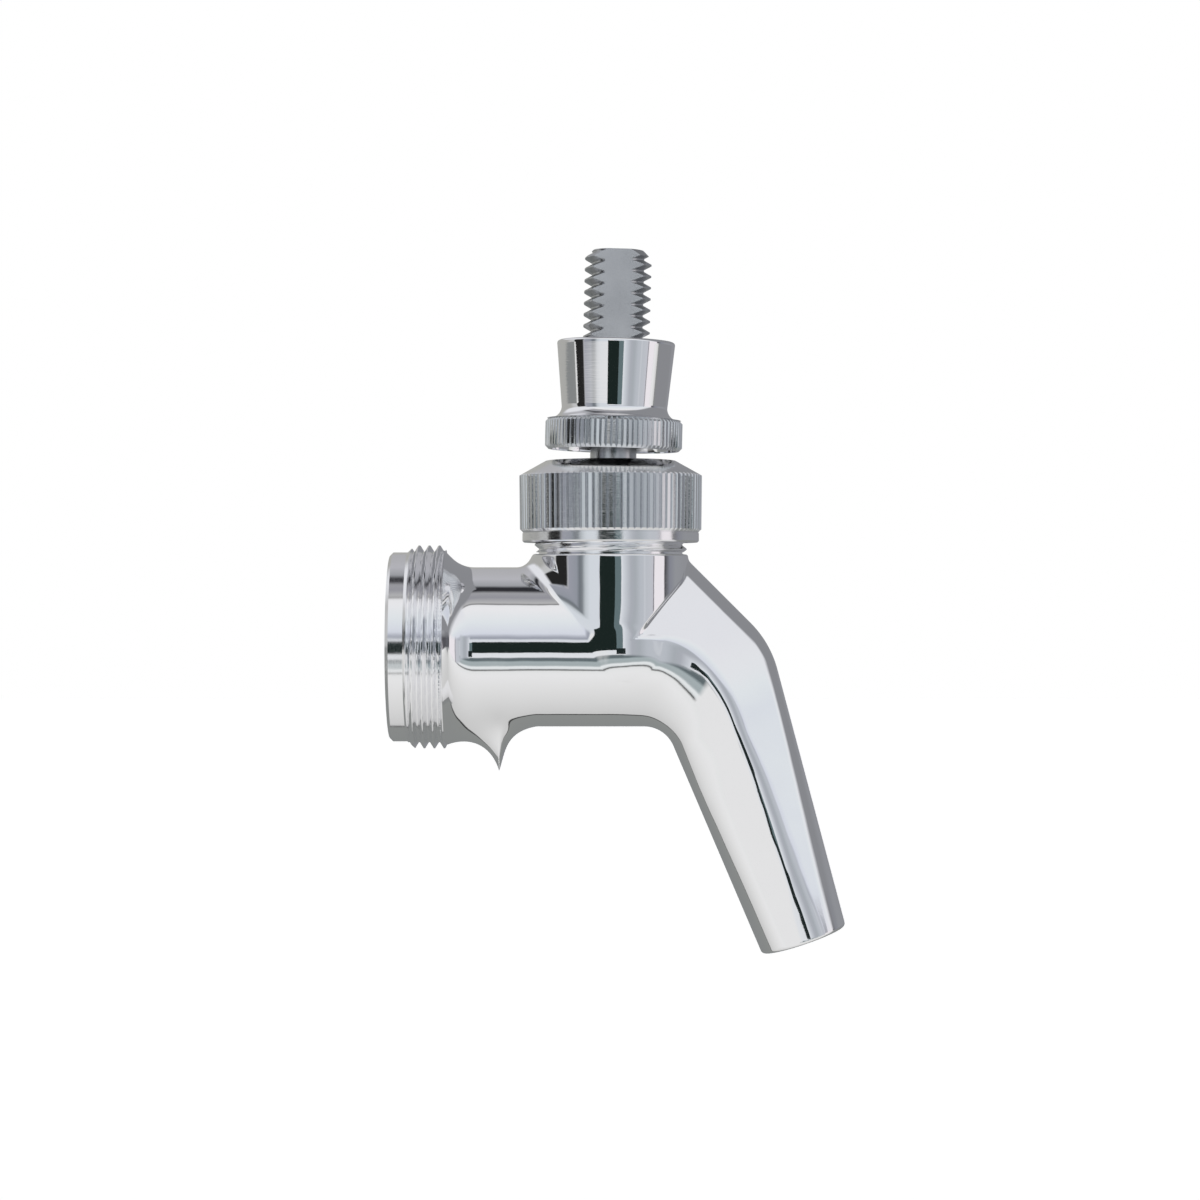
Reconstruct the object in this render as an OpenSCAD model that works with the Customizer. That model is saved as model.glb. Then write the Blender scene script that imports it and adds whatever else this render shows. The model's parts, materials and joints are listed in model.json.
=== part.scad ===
// Forward-sealing beer faucet. A one-piece body carries a shank coupling, a valve chamber and a spout.
// A ball lever under a knurled bonnet swings a sliding plunger off its seat behind the spout.
// Frame: origin at the centre of the inlet's rear face, +X forward along the inlet, +Z up.

/* [Shank coupling] */
// Major diameter of the coupling thread, 1-1/8 inch
coupling_d = 28.58; // [28:0.01:30]
// Pitch of the coupling thread, 18 threads to the inch
coupling_pitch = 1.411; // [1.2:0.001:1.5]
// Number of thread ridges on the coupling
coupling_ridges = 3; // [2:1:4]
// Diameter of the plain pilot behind the thread
pilot_d = 26.6; // [26:0.1:26.8]
// Length of the plain pilot
pilot_len = 2.9; // [2:0.1:4]
// Diameter of the socket that takes the shank's nose
socket_d = 22.4; // [22:0.1:23]
// Depth of the shank socket
socket_depth = 4.2; // [3:0.1:5]
// Number of anti-rotation notches in the socket
notch_count = 18; // [12:1:18]
// Depth of each notch into the socket wall
notch_depth = 0.8; // [0.4:0.1:1]
// Length of each notch along the socket
notch_len = 2.8; // [1.5:0.1:3]
// Outer diameter of the coupling washer
washer_d = 21; // [19:0.1:21.6]
// Hole diameter of the coupling washer
washer_hole_d = 14.6; // [14.2:0.1:16]
// Thickness of the coupling washer
washer_t = 2.2; // [1.6:0.1:3]

/* [Body] */
// Outer diameter of the barrel
barrel_d = 22.4; // [21:0.1:24]
// Radius of the fillet from the coupling down to the barrel
hub_fillet_r = 4.5; // [4:0.1:5]
// Bore of the valve chamber
chamber_d = 14; // [13.6:0.1:14.6]
// Bore of the throat in front of the valve seat
throat_d = 9.6; // [9.4:0.1:9.8]
// Distance of the tower's axis from the inlet face
tower_x = 31; // [29:0.1:32]
// Distance of the front end of the chamber ahead of the tower's axis
chamber_ahead = 6.4; // [5.8:0.1:7]
// Outer diameter of the tower
tower_d = 21.8; // [21:0.1:23]
// Height of the lever's pivot above the chamber axis
pivot_z = 13; // [12.6:0.1:13.6]
// Major diameter of the thread that takes the bonnet
neck_thread_d = 21.4; // [20.8:0.1:22]
// Height of the top of the tower's threaded neck
neck_top_z = 18.6; // [18:0.1:19]
// Pitch of the neck thread
neck_pitch = 1.25; // [1:0.05:1.5]

/* [Spout] */
// Angle of the spout from the vertical
spout_angle = 19; // [15:0.5:23]
// Where the spout's axis crosses the chamber axis, ahead of the tower's axis
spout_ahead = 13; // [12.5:0.1:14.5]
// Length of the spout from that crossing to its tip
spout_len = 43.6; // [38:0.1:50]
// Width of the spout at that crossing, seen from the side
spout_root_d = 18.7; // [17.5:0.1:20]
// Diameter of the round tip
spout_tip_d = 12.4; // [12:0.1:14]
// Bore of the spout
spout_bore_d = 10; // [9:0.1:10.4]
// Where the full bore starts, measured down the spout from the crossing
spout_bore_start = 7; // [6.6:0.1:9]
// Inner radius of the bend under the barrel
bend_r = 4.5; // [3.5:0.1:6]
// Radius of the edge that runs down the shoulder in front of the tower
shoulder_r = 4; // [3.5:0.1:4.5]
// Radius of the front edge where the spout runs straight
spout_edge_r = 4; // [3.5:0.1:5]
// Reach of the shoulder's 45 degree edge past the tower's axis, as its distance forward plus its height
shoulder_ahead = 23.1; // [22.6:0.1:23.6]
// Angle of the flat facets on the shoulder and the spout, from upright
facet_angle = 32.7; // [28:0.1:36]
// Angle at which the body narrows ahead of the tower, seen from above
waist_angle = 20; // [12:0.5:22]

/* [Drip point] */
// Distance of the drip point from the inlet face
drip_x = 15.3; // [14.5:0.1:17]
// Depth of the drip point below the barrel
drip_drop = 6.3; // [4:0.1:8]
// Half width of the drip point where it leaves the barrel
drip_half_w = 4.5; // [3:0.1:6]

/* [Lever] */
// Forward lean of the closed lever
lean_angle = 1.5; // [0:0.1:2]
// Diameter of the ball
ball_d = 12; // [11.6:0.1:12.2]
// Diameter of the neck between ball and collar
neck_d = 6.5; // [5.5:0.1:6.8]
// Diameter of the tail where it leaves the ball
tail_root_d = 4.4; // [4:0.1:4.6]
// Diameter of the tail above its tip
tail_d = 3; // [2.6:0.1:3.2]
// Diameter of the ball-shaped tip
tip_d = 4.9; // [4.4:0.1:5.2]
// Major diameter of the handle thread, 3/8 inch
stud_d = 9.4; // [9:0.01:9.6]
// Pitch of the handle thread, 16 threads to the inch
stud_pitch = 1.5875; // [1.5:0.0001:1.8]
// Height of the top of the handle thread above the pivot
stud_top_h = 42.8; // [40:0.1:46]
// Distance across the two flats of the handle thread
stud_flat_w = 6.35; // [6:0.01:7.5]

/* [Lever collar] */
// Height of the collar's lower rim above the pivot
collar_base_h = 14.7; // [14.6:0.1:15.4]
// Overall height of the collar
collar_h = 15.3; // [14:0.1:17]
// Diameter over the collar's knurl
collar_knurl_d = 19.3; // [19:0.1:20]
// Height of the collar's knurled band
collar_knurl_h = 4.3; // [3:0.1:5]
// Number of teeth on the collar's knurl
collar_teeth = 72; // [48:1:90]
// Diameter of the collar's waist
collar_waist_d = 14.8; // [14:0.1:15.4]
// Diameter of the collar's top rim
collar_top_d = 16.6; // [16:0.1:18]
// Depth of the dish under the collar
dish_depth = 1.9; // [1.7:0.1:2.4]
// Wall around the dish, inside the knurl's roots
dish_wall = 0.45; // [0.4:0.05:0.5]

/* [Bonnet] */
// Height of the bonnet's lower rim above the chamber axis
bonnet_base_z = 14.7; // [14.4:0.1:15]
// Height of the bonnet's flat top above the chamber axis
bonnet_top_z = 26.2; // [25.6:0.1:26.3]
// Diameter over the bonnet's knurl
bonnet_knurl_d = 25.7; // [25:0.1:25.8]
// Number of teeth on the bonnet's knurl
bonnet_teeth = 84; // [60:1:100]
// Diameter of the plain ring under the knurl
bonnet_ring_d = 24.8; // [24:0.1:24.8]
// Height of the plain ring under the knurl
bonnet_ring_h = 1.4; // [1:0.1:2]
// Diameter of the bonnet's flat top
bonnet_top_d = 18.2; // [17.8:0.1:18.4]
// Drop of the sloping face from the flat top to the knurl
bonnet_slope_h = 2.1; // [2:0.1:3]
// Diameter of the lever's opening at the top of the bonnet
bonnet_mouth_d = 16.8; // [16.6:0.1:17]
// Diameter of the lever's opening where the bonnet presses the cup
bonnet_ledge_d = 12.6; // [12:0.1:13]

/* [Bearing cup and throat seal] */
// Outer diameter of the bearing cup
cup_d = 16.4; // [16:0.1:16.8]
// Height by which the cup stands above the tower's neck
cup_proud = 0.6; // [0.3:0.1:0.9]
// Opening of the cup's ball seat
cup_mouth_d = 10; // [9.6:0.1:10.4]
// Cord diameter of the throat O-ring
throat_cord_d = 1.8; // [1.6:0.1:1.8]
// Diameter at the middle of the throat O-ring's cord
throat_ring_d = 11.2; // [11:0.1:11.4]

/* [Plunger] */
// Diameter of the plunger's block around the tail
block_d = 8.8; // [8.4:0.1:9.4]
// Length of the block
block_len = 10; // [9:0.1:11]
// Height of the milled top of the block
block_top_z = 3; // [2.6:0.1:3.1]
// Diameter of the stem in front of the block
front_stem_d = 5.2; // [4.6:0.1:6]
// Diameter of the stem behind the block
rear_stem_d = 6.2; // [5.6:0.1:7]
// Diameter of the guide's seat at the rear of the stem
guide_seat_d = 4.8; // [4:0.1:5.2]
// Distance of the guide's rear face from the inlet face
guide_x = 11.8; // [11.2:0.1:12.4]
// Length of the guide
guide_len = 5; // [4:0.1:6]
// Number of wings on the guide
guide_wings = 4; // [3:1:6]
// Thickness of each wing
wing_t = 2; // [1.5:0.1:2.6]
// Thickness of the retaining clip
clip_t = 0.6; // [0.5:0.1:0.8]
// Outer diameter of the retaining clip
clip_d = 8.2; // [7.6:0.1:9]
// Depth of the clip's groove in the guide's seat
clip_groove = 0.5; // [0.4:0.05:0.6]
// Diameter of the plunger's seat disc
seat_disc_d = 11.4; // [11:0.1:11.8]
// Thickness of the seat disc
seat_disc_t = 1.5; // [1:0.1:2]
// Cord diameter of the seat O-ring
seat_cord_d = 1.8; // [1.6:0.1:2]
// Diameter at the middle of the seat O-ring's cord
seat_ring_d = 9.8; // [9.4:0.1:10]
// Head diameter of the seat screw
screw_head_d = 9; // [8.6:0.1:9]
// Thread diameter of the seat screw
screw_d = 3; // [2.5:0.1:3.5]

/* [Hidden] */
$fn = 96;
eps = 0.01;
// Gap of a running fit, on the radius
running = 0.05;
// Gap where an O-ring or the washer lies against its seat
seal_gap = 0.03;
// Gap of the threads and of loosely fitted pieces, on the radius
thread_gap = 0.08;

// Places that follow the tower's axis
chamber_end_x = tower_x + chamber_ahead;
spout_x = tower_x + spout_ahead;
shoulder_reach = tower_x + shoulder_ahead;

// Coupling and chamber
coupling_thread_len = coupling_pitch * coupling_ridges;
coupling_root_d = coupling_d - 1.2 * coupling_pitch;
hub_x = pilot_len + coupling_thread_len;
washer_x = socket_depth + washer_t;
seat_cone_len = (chamber_d - throat_d) / 2;

// Spout: the taper of each side, and the end of the bend where the spout runs straight
spout_taper = (spout_root_d - spout_tip_d) / 2 / spout_len;
bend_turn = 90 - spout_angle;
bend_end_s = (barrel_d / 2 + bend_r - (bend_r + spout_root_d / 2) * sin(spout_angle))
           / (cos(spout_angle) - spout_taper * sin(spout_angle));
bend_end_r = spout_root_d / 2 - spout_taper * bend_end_s;
bend_x = spout_x + bend_end_s * sin(spout_angle) - (bend_r + bend_end_r) * cos(spout_angle);
bend_z = -(barrel_d / 2 + bend_r);
loft_sides = 40;
// The loft starts this far inside the barrel's skin, so that the two surfaces cross cleanly
loft_inset = 0.04;
// The body starts to narrow this far before the bend
waist_lead = 4;
waist_x = bend_x - waist_lead;
waist_r = barrel_d / 2 - waist_lead * tan(waist_angle) / 2;
tip_round = 0.5;
// A narrower drilling joins the throat to the bore, and the throat ends in a drill point under the shoulder
spout_drill_d = min(throat_d, spout_bore_d) - 0.2;
throat_end_x = shoulder_reach - throat_d / 2 - 4.6;
throat_point_len = throat_d / 2 * tan(30);

// Lever tail and plunger
tail_len = pivot_z;
slot_x = tower_x - tail_len * sin(lean_angle);
slot_w = tip_d + 4 * running;
block_front_x = slot_x + 0.42 * block_len;
block_rear_x = block_front_x - block_len;
guide_front_x = guide_x + guide_len;
seat_groove_d = seat_ring_d - seat_cord_d - 2 * seal_gap;
// The O-ring's centre stands off the seat's 45 degree cone by its cord radius and a seal gap
seat_ring_x = chamber_end_x + (chamber_d - seat_ring_d) / 2 - (seat_cord_d / 2 + seal_gap) * sqrt(2);
seat_disc_x = seat_ring_x - seat_cord_d / 2 - seal_gap;
screw_head_x = seat_ring_x + seat_cord_d / 2 + seal_gap;
screw_head_t = 1.4;
screw_len = 3.6;

// Ball seat
socket_ball_d = throat_ring_d + throat_cord_d + 2 * thread_gap;
throat_ring_h = sqrt(pow((ball_d + throat_cord_d) / 2 + seal_gap, 2) - pow(throat_ring_d / 2, 2));
socket_floor_z = pivot_z - throat_ring_h - throat_cord_d / 2 - seal_gap;
tail_hole_d = throat_ring_d - throat_cord_d - 4 * running;
cup_top_z = neck_top_z + cup_proud;
cup_pocket_d = cup_d + 2 * running;
neck_root_d = neck_thread_d - neck_pitch;

// Knurls
knurl_depth = 0.42;

// Turns a solid that is made along +Z so that it lies along +X
module along_x() { rotate([0, 90, 0]) children(); }

// Places a solid made along +Z on the spout's axis, pointing out of the spout
module along_spout() { translate([spout_x, 0, 0]) rotate([0, 180 - spout_angle, 0]) children(); }

// Places a solid made around the pivot, +Z along the lever
module on_lever() { translate([tower_x, 0, pivot_z]) rotate([0, lean_angle, 0]) children(); }

// V-shaped ridges of a thread as outline points: count ridges of one pitch from height z0
function ridge_points(z0, count, pitch, major_r, root_r) =
    [for (i = [0 : count - 1], p = [[root_r, 0.06], [major_r, 0.44], [major_r, 0.56], [root_r, 0.94]])
        [p[0], z0 + (i + p[1]) * pitch]];

// Points of an arc round centre c, from angle a0 to angle a1
function arc_points(c, r, a0, a1, steps) =
    [for (i = [0 : steps]) let (a = a0 + (a1 - a0) * i / steps) c + r * [cos(a), sin(a)]];

// Outline of a straight knurl with flat-topped teeth
function knurl_points(d, teeth) =
    [for (i = [0 : teeth - 1], p = [[0, -0.22], [0, 0.22], [1, 0.42], [1, 0.58]])
        let (a = (i + p[1]) * 360 / teeth, r = d / 2 - p[0] * knurl_depth) r * [cos(a), sin(a)]];

module knurl(d, teeth, z0, z1) {
    translate([0, 0, z0]) linear_extrude(z1 - z0) polygon(knurl_points(d, teeth));
}

// Point of a cubic curve at t
function curve(a, b, c, d, t) =
    pow(1 - t, 3) * a + 3 * t * pow(1 - t, 2) * b + 3 * t * t * (1 - t) * c + pow(t, 3) * d;

// Outside of the coupling, the hub and the barrel, as radius and distance from the inlet face
coupling_r = coupling_d / 2;
barrel_r = barrel_d / 2;
hub_crest_r = coupling_r - 0.15;
hub_crest_x = hub_x + 0.45;
hub_fillet_x = hub_crest_x + sqrt(pow(hub_fillet_r, 2) - pow(barrel_r + hub_fillet_r - hub_crest_r, 2));
hub_fillet_a = acos((barrel_r + hub_fillet_r - hub_crest_r) / hub_fillet_r);
coupling_outline = concat(
    [[0, 0], [pilot_d / 2 - 0.4, 0], [pilot_d / 2, 0.4], [pilot_d / 2, pilot_len]],
    ridge_points(pilot_len, coupling_ridges, coupling_pitch, coupling_r, coupling_root_d / 2),
    arc_points([barrel_r + hub_fillet_r, hub_fillet_x], hub_fillet_r, 180 + hub_fillet_a, 180, 8),
    [[barrel_r, waist_x + 0.2], [0, waist_x + 0.2]]);

// Distance of the spout's front edge from the bend's axis, and the angle of that distance from the vertical
spout_front_a = bend_turn + atan(spout_taper);
spout_front_d = ((spout_x - bend_x) * cos(spout_angle) - bend_z * sin(spout_angle) + spout_root_d / 2
                 + spout_taper * ((spout_x - bend_x) * sin(spout_angle) + bend_z * cos(spout_angle)))
              * cos(atan(spout_taper));

// Bend and spout in one loft. Each section is two circles on one line and the flanks that touch both:
// a round back of radius b on the inner side of the bend, and an edge of radius e on the outer side.
// A section is [inner point, direction across, width, b, e].
function soft_min(x, y, k) = min(x, y) - pow(max(k - abs(x - y), 0), 2) / (4 * k);
function soft_max(x, y, k) = -soft_min(-x, -y, k);
waist_sections = [for (u = [0, 0.5])
    let (inset = u == 0 ? loft_inset : 0,
         b = barrel_r + (waist_r - barrel_r) * u * u - inset)
    [[waist_x + waist_lead * u, inset - barrel_r], [0, 1], barrel_d - 2 * inset, b, b]];
bend_sections = [for (i = [0 : 12])
    let (t = i / 12,
         a = bend_turn * t,
         out = [sin(a), cos(a)],
         narrowing = waist_r - tan(waist_angle) * (bend_r + barrel_r) * a * PI / 180,
         back_r = soft_max(narrowing, 0.93 * bend_end_r + 0.7 * (1 - t), 0.8),
         slope_reach = (shoulder_reach - bend_x - bend_z) / (sin(a) + cos(a)),
         spout_reach = spout_front_d / cos(spout_front_a - a),
         reach = soft_min(soft_min(slope_reach, spout_reach, 0.8), bend_r + barrel_d + a / 15, 0.4))
    [[bend_x, bend_z] + bend_r * out, out, reach - bend_r, back_r,
     i == 0 ? back_r : shoulder_r + (spout_edge_r - shoulder_r) * t]];
// Straight part as circles at the tip, with the rim's edge rounded.
// Each pair is the distance back from the tip and what is cut off the radius there.
spout_sections = [for (p = [[tip_round, 0], [0.3 * tip_round, 0.3 * tip_round], [0, tip_round]])
    let (s = spout_len - p[0],
         r = spout_tip_d / 2 + spout_taper * p[0] - p[1])
    [[spout_x, 0] + s * [sin(spout_angle), -cos(spout_angle)] - r * [cos(spout_angle), sin(spout_angle)],
     [cos(spout_angle), sin(spout_angle)], 2 * r, r, r]];

function section_point(c, a) =
    let (gap = c[2] - c[3] - c[4], edge = gap > eps && sin(a) * gap > c[3] - c[4],
         q = edge ? c[2] - c[4] + c[4] * sin(a) : c[3] + c[3] * sin(a),
         p = c[0] + q * c[1])
    [p[0], (edge ? c[4] : c[3]) * cos(a), p[1]];

module bend_and_spout() {
    sections = concat(waist_sections, bend_sections, spout_sections);
    last = len(sections) - 1;
    points = [for (c = sections, j = [0 : loft_sides - 1]) section_point(c, 90 + 360 * j / loft_sides)];
    sides = [for (i = [0 : last - 1], j = [0 : loft_sides - 1], half = [0, 1])
        let (k = (j + 1) % loft_sides, p = i * loft_sides, q = p + loft_sides)
        half == 0 ? [p + j, q + k, p + k] : [p + j, q + j, q + k]];
    ends = [[for (j = [0 : loft_sides - 1]) j],
            [for (j = [loft_sides - 1 : -1 : 0]) last * loft_sides + j]];
    polyhedron(points, concat(sides, ends));
}

// Cuts both flanks flat at distance d from a line, which leaves point at angle a below the horizontal
module facet_cut(point, a, d) {
    for (side = [-1, 1])
        translate(point) rotate([side * (90 - facet_angle), a, 0])
            translate([-facet_len / 2, -facet_len / 2, d]) cube([facet_len, facet_len, barrel_d]);
}
facet_len = 2 * (spout_len + barrel_d);
// The spout's facets stay this far outside its round tip
facet_fade = 0.25;

module tower() {
    translate([tower_x, 0, 0]) rotate_extrude() polygon(concat(
        [[0, 0], [tower_d / 2, 0], [tower_d / 2, pivot_z], [neck_root_d / 2, pivot_z + 0.4]],
        ridge_points(pivot_z + 0.4, neck_ridges, neck_pitch, neck_thread_d / 2, neck_root_d / 2),
        [[neck_root_d / 2, neck_top_z], [0, neck_top_z]]));
}
neck_ridges = floor((neck_top_z - pivot_z - 0.4) / neck_pitch);

// The drip point hangs under the barrel: drops fall from it instead of running back to the coupling
module drip_point() {
    tip = [drip_x, -barrel_r - drip_drop];
    rear = [for (i = [0 : 8]) curve([hub_x, 0.3 - coupling_r], [11, -barrel_r - 0.8],
                                    [13.2, -barrel_r - 2], tip, i / 8)];
    front = [for (i = [1 : 8]) curve(tip, tip + [0.9, 2.5], tip + [0.7, drip_drop - 0.8],
                                     [drip_x + 5.5, 0.1 - barrel_r], i / 8)];
    intersection() {
        rotate([90, 0, 0]) linear_extrude(2 * drip_half_w, center = true)
            polygon(concat([[drip_x + 5.5, 1 - barrel_r], [hub_x, 1 - barrel_r]], rear, front));
        rotate([90, 0, 90]) linear_extrude(40)
            polygon([[0.5, tip[1]], [1.7, tip[1] + 2.6], [drip_half_w, 0.8 - barrel_r],
                     [drip_half_w, 1.1 - barrel_r], [-drip_half_w, 1.1 - barrel_r],
                     [-drip_half_w, 0.8 - barrel_r], [-1.7, tip[1] + 2.6], [-0.5, tip[1]]]);
    }
}

// Shank socket, washer recess, valve chamber, seat and throat, in one turned cut
module chamber_cut() {
    along_x() rotate_extrude() polygon([
        [0, -1], [socket_d / 2, -1], [socket_d / 2, socket_depth],
        [washer_d / 2 + thread_gap, socket_depth], [washer_d / 2 + thread_gap, washer_x],
        [chamber_d / 2, washer_x], [chamber_d / 2, chamber_end_x],
        [throat_d / 2, chamber_end_x + seat_cone_len], [throat_d / 2, throat_end_x],
        [0, throat_end_x + throat_point_len]]);
}

// Notches that lock onto the teeth of a shank
module notch_cut() {
    for (i = [0 : notch_count - 1])
        rotate([i * 360 / notch_count, 0, 0]) rotate([90, 0, 90])
            translate([0, 0, -1]) linear_extrude(notch_len + 1)
                polygon([[-0.55, socket_d / 2 - 0.3], [0.55, socket_d / 2 - 0.3],
                         [0, socket_d / 2 + notch_depth]]);
}

// Pocket of the bearing cup and the throat seal, open to the chamber for the lever's tail
module ball_cut() {
    translate([tower_x, 0, 0]) rotate_extrude() polygon([
        [0, 0], [tail_hole_d / 2, 0], [tail_hole_d / 2, socket_floor_z],
        [socket_ball_d / 2, socket_floor_z], [socket_ball_d / 2, pivot_z],
        [cup_pocket_d / 2, pivot_z], [cup_pocket_d / 2, neck_top_z + 1], [0, neck_top_z + 1]]);
}

module spout_cut() {
    along_spout() cylinder(h = spout_bore_start + eps, d = spout_drill_d);
    along_spout() translate([0, 0, spout_bore_start]) cylinder(h = spout_len, d = spout_bore_d);
}

module faucet_body() {
    color([0.78, 0.79, 0.81]) difference() {
        union() {
            difference() {
                union() {
                    along_x() rotate_extrude() polygon(coupling_outline);
                    bend_and_spout();
                }
                facet_cut([shoulder_reach - sqrt(2) * shoulder_r, 0, 0], 45, shoulder_r);
                facet_cut([spout_x, 0, 0], bend_turn, spout_tip_d / 2 + facet_fade);
            }
            tower();
            drip_point();
        }
        chamber_cut();
        notch_cut();
        ball_cut();
        spout_cut();
    }
}

module coupling_washer() {
    color([0.16, 0.16, 0.17]) translate([socket_depth, 0, 0]) along_x() difference() {
        cylinder(h = washer_t, d = washer_d);
        translate([0, 0, -1]) cylinder(h = washer_t + 2, d = washer_hole_d);
    }
}

// O-ring lying flat, centred on the origin
module o_ring(ring_d, cord_d) {
    rotate_extrude() translate([ring_d / 2, 0]) circle(d = cord_d, $fn = 32);
}

module throat_o_ring() {
    color([0.1, 0.1, 0.11]) translate([tower_x, 0, pivot_z - throat_ring_h])
        o_ring(throat_ring_d, throat_cord_d);
}

// The cup holds the upper half of the ball; the bonnet presses it onto the tower's pocket
module bearing_cup() {
    seat_r = ball_d / 2 + running;
    mouth_z = pivot_z + sqrt(pow(seat_r, 2) - pow(cup_mouth_d / 2, 2));
    color([0.93, 0.93, 0.9]) difference() {
        translate([tower_x, 0, pivot_z]) cylinder(h = cup_top_z - pivot_z, d = cup_d);
        translate([tower_x, 0, pivot_z]) sphere(seat_r);
        translate([tower_x, 0, mouth_z - eps])
            cylinder(h = cup_top_z - mouth_z + 2 * eps, d1 = cup_mouth_d, d2 = bonnet_ledge_d - 0.4);
    }
}

module compression_bonnet() {
    shoulder_z = bonnet_top_z - bonnet_slope_h;
    root_r = bonnet_knurl_d / 2 - knurl_depth;
    color([0.82, 0.82, 0.84]) difference() {
        union() {
            translate([tower_x, 0, 0]) rotate_extrude() polygon([
                [0, bonnet_base_z], [bonnet_ring_d / 2 - 0.2, bonnet_base_z],
                [bonnet_ring_d / 2, bonnet_base_z + 0.2],
                [bonnet_ring_d / 2, bonnet_base_z + bonnet_ring_h],
                [root_r, bonnet_base_z + bonnet_ring_h], [root_r, shoulder_z],
                [bonnet_top_d / 2, bonnet_top_z], [0, bonnet_top_z]]);
            translate([tower_x, 0, 0])
                knurl(bonnet_knurl_d, bonnet_teeth, bonnet_base_z + bonnet_ring_h + 0.3, shoulder_z);
        }
        translate([tower_x, 0, bonnet_base_z - 1])
            cylinder(h = cup_top_z - bonnet_base_z + 1, d = neck_thread_d + 2 * thread_gap);
        translate([tower_x, 0, cup_top_z - 0.5]) cylinder(h = 1, d = bonnet_ledge_d);
        translate([tower_x, 0, cup_top_z])
            cylinder(h = bonnet_top_z - cup_top_z + eps, d1 = bonnet_ledge_d, d2 = bonnet_mouth_d);
    }
}

// Lever: tail, ball, neck and handle thread in one piece
module lever() {
    collar_top_h = collar_base_h + collar_h;
    ridges = floor((stud_top_h - collar_top_h) / stud_pitch);
    thread_h = stud_top_h - ridges * stud_pitch;
    stud_root_d = stud_d - 1.2 * stud_pitch;
    stud_h = collar_base_h + dish_depth;
    color([0.8, 0.8, 0.82]) on_lever() {
        sphere(d = ball_d);
        translate([0, 0, -tail_len]) {
            sphere(d = tip_d);
            cylinder(h = tail_len - ball_d / 2 + 0.6, d1 = tail_d, d2 = tail_root_d);
        }
        cylinder(h = stud_h, d = neck_d);
        intersection() {
            rotate_extrude() polygon(concat(
                [[0, stud_h - 0.4], [neck_d / 2 - eps, stud_h - 0.4], [stud_d / 2, stud_h + 1],
                 [stud_d / 2, thread_h - 0.4], [stud_root_d / 2, thread_h]],
                ridge_points(thread_h, ridges, stud_pitch, stud_d / 2, stud_root_d / 2),
                [[stud_root_d / 2, stud_top_h], [0, stud_top_h]]));
            union() {
                cylinder(h = collar_top_h, d = 2 * stud_d);
                translate([-stud_d, -stud_flat_w / 2, 0]) cube([2 * stud_d, stud_flat_w, stud_top_h + 1]);
            }
        }
    }
}

module lever_collar() {
    top_h = collar_base_h + collar_h;
    knurl_h = collar_base_h + collar_knurl_h;
    root_r = collar_knurl_d / 2 - knurl_depth;
    fillet_r = root_r - collar_waist_d / 2;
    color([0.84, 0.84, 0.86]) on_lever() difference() {
        union() {
            rotate_extrude() polygon(concat(
                [[0, collar_base_h], [root_r, collar_base_h], [root_r, knurl_h]],
                arc_points([root_r, knurl_h + fillet_r], fillet_r, 262, 180, 6),
                [[collar_top_d / 2, top_h - 0.4], [collar_top_d / 2 - 0.4, top_h], [0, top_h]]));
            knurl(collar_knurl_d, collar_teeth, collar_base_h + 0.2, knurl_h - 0.1);
        }
        translate([0, 0, collar_base_h - 1]) cylinder(h = dish_depth + 1, r = root_r - dish_wall);
        translate([0, 0, collar_base_h]) cylinder(h = collar_h + 1, d = stud_d + 2 * thread_gap);
    }
}

// Plunger: a turned rod with a milled block that the lever's tip reaches into
module plunger_shaft() {
    tip_x = guide_x - clip_t - 0.6;
    groove_r = guide_seat_d / 2 - clip_groove;
    color([0.75, 0.76, 0.78]) difference() {
        union() {
            along_x() rotate_extrude() polygon([
                [0, tip_x], [guide_seat_d / 2 - 0.3, tip_x], [guide_seat_d / 2, tip_x + 0.3],
                [guide_seat_d / 2, guide_x - clip_t - eps], [groove_r, guide_x - clip_t - eps],
                [groove_r, guide_x], [guide_seat_d / 2, guide_x],
                [guide_seat_d / 2, guide_front_x], [rear_stem_d / 2, guide_front_x],
                [rear_stem_d / 2, block_rear_x], [block_d / 2 - 0.4, block_rear_x],
                [block_d / 2, block_rear_x + 0.4], [block_d / 2, block_front_x - 0.4],
                [block_d / 2 - 0.4, block_front_x], [front_stem_d / 2, block_front_x],
                [front_stem_d / 2, seat_disc_x - seat_disc_t],
                [seat_disc_d / 2 - 0.2, seat_disc_x - seat_disc_t],
                [seat_disc_d / 2, seat_disc_x - seat_disc_t + 0.2], [seat_disc_d / 2, seat_disc_x],
                [0, seat_disc_x]]);
        }
        translate([block_rear_x - eps, -block_d, block_top_z])
            cube([block_len + 2 * eps, 2 * block_d, block_d]);
        translate([slot_x, 0, 0]) rotate([90, 0, 0]) linear_extrude(slot_w, center = true)
            polygon([[-slot_w / 2, -block_d], [slot_w / 2, -block_d], [slot_w / 2, 1.4],
                     [slot_w / 2 + 0.9, block_top_z + eps], [slot_w / 2 + 0.9, block_d],
                     [-slot_w / 2, block_d]]);
        translate([seat_disc_x - screw_len, 0, 0]) along_x()
            cylinder(h = screw_len + 1, d = screw_d + 2 * running);
    }
}

// Winged guide that centres the plunger's tail end in the chamber and lets the beer pass
module plunger_guide() {
    hub_d = guide_seat_d + 3;
    color([0.92, 0.92, 0.9]) translate([guide_x, 0, 0]) along_x() difference() {
        union() {
            cylinder(h = guide_len, d = hub_d);
            intersection() {
                cylinder(h = guide_len, d = chamber_d - 2 * running);
                for (i = [0 : guide_wings - 1]) rotate([0, 0, (i + 0.5) * 360 / guide_wings])
                    translate([0, -wing_t / 2, 0]) cube([chamber_d, wing_t, guide_len]);
            }
        }
        translate([0, 0, -1]) cylinder(h = guide_len + 2, d = guide_seat_d + 2 * running);
    }
}

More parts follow.
